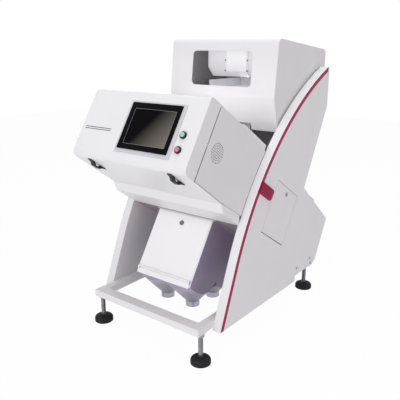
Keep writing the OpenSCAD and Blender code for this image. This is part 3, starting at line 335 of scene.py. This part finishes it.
def add_piece(name, shape, look, body):
    verts, faces = shape
    mesh = bpy.data.meshes.new(name)
    mesh.from_pydata([tuple(v) for v in verts], [], faces)
    mesh.update()
    mesh.materials.append(LOOKS[look])
    piece = bpy.data.objects.new(name, mesh)
    scene.collection.objects.link(piece)
    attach(piece, body)


def frame_of(normal):
    """Rotation whose Z is the normal."""
    return Vector(normal).normalized().to_track_quat("Z", "Y").to_matrix()


def turned(profile, steps, place, turn):
    """Closed revolve of (radius, height) pairs about the local Z of a place."""
    verts, faces = [], []
    for radius, height in profile:
        for k in range(steps):
            angle = 2 * math.pi * k / steps
            point = Vector((radius * math.cos(angle), radius * math.sin(angle), height))
            verts.append(place + turn @ point)
    for ring in range(len(profile) - 1):
        for k in range(steps):
            a, b = ring * steps + k, ring * steps + (k + 1) % steps
            faces.append((a, b, b + steps, a + steps))
    faces.append(tuple(range(steps - 1, -1, -1)))
    top = (len(profile) - 1) * steps
    faces.append(tuple(range(top, top + steps)))
    return verts, faces


def screw_heads(places, normal, radius):
    """Domed heads seated on a face."""
    profile = [(width * radius, height * radius) for width, height in HEAD_PROFILE]
    turn = frame_of(normal)
    verts, faces = [], []
    for place in places:
        head_verts, head_faces = turned(profile, HEAD_STEPS, Vector(place), turn)
        base = len(verts)
        verts += head_verts
        faces += [tuple(i + base for i in face) for face in head_faces]
    return verts, faces


def ribbon(sections, side=1):
    """Closed bar through a row of four-cornered sections, which run the other way round on the left."""
    verts = [corner for section in sections for corner in section[::side]]
    faces = [(3, 2, 1, 0), tuple(range(len(verts) - 4, len(verts)))]
    for first in range(0, len(verts) - 4, 4):
        for i in range(4):
            a, b = first + i, first + (i + 1) % 4
            faces.append((a, b, b + 4, a + 4))
    return verts, faces


def section_of(inner_x, outer_x, back, front):
    """Section of a ribbon that runs along a cover's edge, from two points (y, z)."""
    return [(inner_x, *back), (inner_x, *front), (outer_x, *front), (outer_x, *back)]


INK_T = 0.0002


def printed_bar(x0, x1, t0, t1, s):
    """Thin flat bar on a face of the hood front, in millimetres of the tilted axes."""
    corners = [tilted(x, s, t) for x, t in ((x0, t0), (x1, t0), (x1, t1), (x0, t1))]
    return ribbon([corners, [corner - S_AXIS * INK_T for corner in corners]])


# Two plain printed lines on the left of the front door
LINE_X = (-312, -146)
LINE_T = (132, 141)
LINE_H = 3.2
for number, low in enumerate(LINE_T):
    add_piece(f"door_line_{number}", printed_bar(*LINE_X, low, low + LINE_H, 0), "dark_ink", "front_door")

# Thin pale line round the screen
SCREEN_LINE = 0.9
screen_points = [v.co - HOOD_CORNER for v in nodes["display_screen"].data.vertices]
screen_x = [p.x / MM for p in screen_points]
screen_s = [p.dot(S_AXIS) / MM for p in screen_points]
screen_t = [p.dot(T_AXIS) / MM for p in screen_points]
left, right, lower, upper = min(screen_x), max(screen_x), min(screen_t), max(screen_t)
screen_bars = [(left, right, lower, lower + SCREEN_LINE), (left, right, upper - SCREEN_LINE, upper),
               (left, left + SCREEN_LINE, lower, upper), (right - SCREEN_LINE, right, lower, upper)]
for number, bar in enumerate(screen_bars):
    add_piece(f"screen_line_{number}", printed_bar(*bar, min(screen_s)), "pale_rim", "front_door")

# Screws on both sides of the sight plate of the feed hopper
SIGHT_SCREW_R = 0.004
SIGHT_MARGIN = 0.007
SIGHT_HEIGHTS = (0.02, 0.5, 0.98)
low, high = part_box("hopper_window")
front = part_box("feed_hopper")[0][1]
places = [(x, front, low[2] + (high[2] - low[2]) * share)
          for x in (low[0] - SIGHT_MARGIN, high[0] + SIGHT_MARGIN) for share in SIGHT_HEIGHTS]
add_piece("sight_screws", screw_heads(places, (0, -1, 0), SIGHT_SCREW_R), "black_plastic",
          "machine")

# Bolts of the side covers near the rear feet, placed by (y, z)
COVER_BOLT_R = 0.007
COVER_BOLTS = [(0.284, 0.209), (0.438, 0.217), (0.448, 0.186)]
for name, side in SIDES.items():
    low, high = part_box("side_cover_" + name)
    outer = (high if side > 0 else low)[0]
    places = [(outer, y, z) for y, z in COVER_BOLTS]
    add_piece("cover_bolts_" + name, screw_heads(places, (side, 0, 0), COVER_BOLT_R), "zinc_steel",
              "machine")

# Black dust filter in the fan opening, just behind the vent; its black also paints the shade seen through
# the vent holes
FILTER_R = 0.0435
FILTER_T = 0.001
FILTER_INSET = 0.0015
FILTER_STEPS = 48
low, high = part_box("fan_frame")
middle = (Vector(low) + Vector(high)) / 2
place = Vector((high[0] - FILTER_INSET, middle[1], middle[2]))
disc = turned([(FILTER_R, 0), (FILTER_R, FILTER_T)], FILTER_STEPS, place, frame_of((1, 0, 0)))
add_piece("vent_filter", disc, "black_rubber", "machine")

# Front edge of the side covers: a straight foot, then an arc about a point (y, z)
EDGE_CENTRE = (1.10857, -0.14770)
EDGE_R = 1.530


def edge_point(radius, angle):
    """Point (y, z) of an arc about the centre of the edge, at an angle from the level."""
    return EDGE_CENTRE[0] - radius * math.cos(angle), EDGE_CENTRE[1] + radius * math.sin(angle)


def edge_angle(radius, z):
    """Angle at which such an arc has a height."""
    return math.asin((z - EDGE_CENTRE[1]) / radius)


# Black strip in the gap between the hood and each side plate, along the front edge of the cover: a
# painted shadow standing in for the shade in the gap
GAP_SHADE_R = EDGE_R + 0.0015
GAP_SHADE_Z = (0.612, 0.892)
GAP_SHADE_W = 0.0024
GAP_SHADE_D = 0.0026
GAP_SHADE_INSET = 0.0002
GAP_SHADE_STEPS = 24
for name, side in SIDES.items():
    low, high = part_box("side_plate_" + name)
    inner_x = (low if side > 0 else high)[0] + side * GAP_SHADE_INSET
    sections = []
    for k in range(GAP_SHADE_STEPS + 1):
        angle = edge_angle(GAP_SHADE_R, GAP_SHADE_Z[0] + (GAP_SHADE_Z[1] - GAP_SHADE_Z[0]) * k / GAP_SHADE_STEPS)
        back, front = [edge_point(r, angle) for r in (GAP_SHADE_R - GAP_SHADE_W / 2, GAP_SHADE_R + GAP_SHADE_W / 2)]
        sections.append(section_of(inner_x, inner_x + side * GAP_SHADE_D, back, front))
    add_piece("hood_gap_shade_" + name, ribbon(sections, side), "black_rubber", "machine")

# Inner part of each cover's coloured stripe, painted next to the raised stripe
PAINT_FROM = 0.0109
PAINT_TO = 0.0225
PAINT_T = 0.0004
STRIPE_STEPS = 48
ARC_TOLERANCE = 0.0003
stripe_points = [v.co for v in nodes["trim_stripes"].data.vertices]
foot_z = min(p.z for p in stripe_points)
stripe_end = max(p.y for p in stripe_points)
paint_x = min(abs(p.x) for p in stripe_points)
arc_z = [p.z for p in stripe_points
         if abs(math.hypot(p.y - EDGE_CENTRE[0], p.z - EDGE_CENTRE[1]) - EDGE_R) < ARC_TOLERANCE]
edge_lean = edge_angle(EDGE_R, min(arc_z))


def cover_edge(inset):
    """Line along the cover's front edge, moved inwards: straight at the foot, then an arc."""
    radius = EDGE_R - inset
    end_angle = math.acos((EDGE_CENTRE[0] - stripe_end) / radius)
    line = [edge_point(radius, edge_lean + (end_angle - edge_lean) * k / STRIPE_STEPS)
            for k in range(STRIPE_STEPS + 1)]
    y, z = line[0]
    return [(y - (z - foot_z) * math.tan(edge_lean), foot_z)] + line


for name, side in SIDES.items():
    sections = [section_of(side * paint_x, side * (paint_x + PAINT_T), back, front)
                for front, back in zip(cover_edge(PAINT_FROM), cover_edge(PAINT_TO))]
    add_piece("stripe_paint_" + name, ribbon(sections, side), "crimson_trim", "machine")

# Threads of the levelling feet
STEM_R = 0.0100
THREAD_ROOT_R = STEM_R + 0.0001
THREAD_CREST_R = STEM_R + 0.0012
THREAD_PITCH = 0.0035
THREAD_START = 0.046
NUT_GAP = 0.001
THREAD_STEPS = 24
thread_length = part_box("lock_nuts")[0][2] - NUT_GAP - THREAD_START
thread = []
for k in range(int(thread_length / THREAD_PITCH)):
    z = THREAD_START + k * THREAD_PITCH
    thread += [(THREAD_ROOT_R, z), (THREAD_CREST_R, z + THREAD_PITCH / 2)]
thread.append((THREAD_ROOT_R, thread[-1][1] + THREAD_PITCH / 2))
for end in FEET:
    stem = "foot_stem_" + end
    low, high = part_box(stem)
    axis = Vector(((low[0] + high[0]) / 2, (low[1] + high[1]) / 2, 0))
    shape = turned(thread, THREAD_STEPS, axis, Matrix.Identity(3))
    add_piece("thread_" + end, shape, "dark_steel", stem)


# Camera, at the angle of the photograph
CAMERA_AZIMUTH = math.radians(37.85)
CAMERA_ELEVATION = math.radians(16.29)
CAMERA_PLACE = (1.59786, -2.14695, 1.37505)
camera_data = bpy.data.cameras.new("camera")
camera_data.lens = 47.71
camera_data.sensor_width = 36
camera = bpy.data.objects.new("camera", camera_data)
camera.location = CAMERA_PLACE
camera.rotation_euler = (math.pi / 2 - CAMERA_ELEVATION, 0, CAMERA_AZIMUTH)
scene.collection.objects.link(camera)
scene.camera = camera


# Floor, world and lamps

FLOOR_HALF = 8.0
FLOOR_PATCHES = 2
FLOOR_DARK = (0.93, 0.93, 0.93)
FLOOR_PALE = (0.95, 0.95, 0.95)
FLOOR_GLOW = 0.97
AMBIENT = 0.42


def seen_rays(tree):
    """1 for rays that show the background: from the camera, in reflections and through glass."""
    path = tree.nodes.new("ShaderNodeLightPath")
    seen = path.outputs["Is Camera Ray"]
    for kind in ("Is Glossy Ray", "Is Transmission Ray"):
        either = tree.nodes.new("ShaderNodeMath")
        either.operation = "MAXIMUM"
        tree.links.new(seen, either.inputs[0])
        tree.links.new(path.outputs[kind], either.inputs[1])
        seen = either.outputs[0]
    return seen


def floor_material():
    """Plain floor to the light, and nearly white with faint shadows to the rays that show it."""
    material, tree, output = new_material("floor")
    diffuse = tree.nodes.new("ShaderNodeBsdfDiffuse")
    glow = tree.nodes.new("ShaderNodeEmission")
    glow.inputs["Strength"].default_value = 1.0
    soft = tree.nodes.new("ShaderNodeMixShader")
    soft.inputs["Fac"].default_value = FLOOR_GLOW
    chosen = tree.nodes.new("ShaderNodeMixShader")
    color = ramp(tree, noise(tree, FLOOR_PATCHES), FLOOR_DARK, FLOOR_PALE)
    tree.links.new(color, diffuse.inputs["Color"])
    tree.links.new(diffuse.outputs["BSDF"], soft.inputs[1])
    tree.links.new(glow.outputs["Emission"], soft.inputs[2])
    tree.links.new(seen_rays(tree), chosen.inputs["Fac"])
    tree.links.new(diffuse.outputs["BSDF"], chosen.inputs[1])
    tree.links.new(soft.outputs["Shader"], chosen.inputs[2])
    tree.links.new(chosen.outputs["Shader"], output.inputs["Surface"])
    return material


floor_mesh = bpy.data.meshes.new("floor")
floor_mesh.from_pydata([(-FLOOR_HALF, -FLOOR_HALF, 0), (FLOOR_HALF, -FLOOR_HALF, 0),
                        (FLOOR_HALF, FLOOR_HALF, 0), (-FLOOR_HALF, FLOOR_HALF, 0)], [], [(0, 1, 2, 3)])
floor_mesh.materials.append(floor_material())
floor = bpy.data.objects.new("floor", floor_mesh)
scene.collection.objects.link(floor)

# White to the rays that show it, and dimmer as a light
world = bpy.data.worlds.new("studio")
world.use_nodes = True
scene.world = world
world_tree = world.node_tree
background = world_tree.nodes["Background"]
background.inputs["Color"].default_value = (1, 1, 1, 1)
strength = spread(world_tree, seen_rays(world_tree), AMBIENT, 1.0)
world_tree.links.new(strength, background.inputs["Strength"])


def area_lamp(name, place, target, width, height, power, color=(1, 1, 1)):
    data = bpy.data.lights.new(name, "AREA")
    data.shape = "RECTANGLE"
    data.size = width
    data.size_y = height
    data.energy = power
    data.color = color
    lamp = bpy.data.objects.new(name, data)
    lamp.location = place
    lamp.rotation_euler = (Vector(target) - Vector(place)).to_track_quat("-Z", "Y").to_euler()
    scene.collection.objects.link(lamp)


# Three studio lamps, and three small ones for the inside of the feed box, the tray and the dip
# between the hood and the feed box
MIDDLE = (0, 0, 0.7)
LAMPS = [
    dict(name="front", place=(0.4, -4.6, 1.7), target=MIDDLE, width=2.5, height=2.5, power=74),
    dict(name="top", place=(0.3, 0.2, 4.2), target=MIDDLE, width=2.5, height=2.5, power=50),
    dict(name="side", place=(4.2, -1.0, 2.2), target=MIDDLE, width=2.5, height=2.5, power=18,
         color=(1, 0.93, 1)),
    dict(name="feed_box", place=(0, 0.12, 1.375), target=(0, 0.203, 1.22), width=0.5, height=0.03,
         power=0.12),
    dict(name="tray", place=(0.1, 0.22, 1.207), target=(-0.15, 0.38, 1.165), width=0.1, height=0.012,
         power=0.06),
    dict(name="valley", place=(0, -0.14, 1.08), target=(0, 0.10, 1.02), width=0.55, height=0.06,
         power=0.26),
]
for settings in LAMPS:
    area_lamp(**settings)

scene.view_settings.view_transform = "Standard"
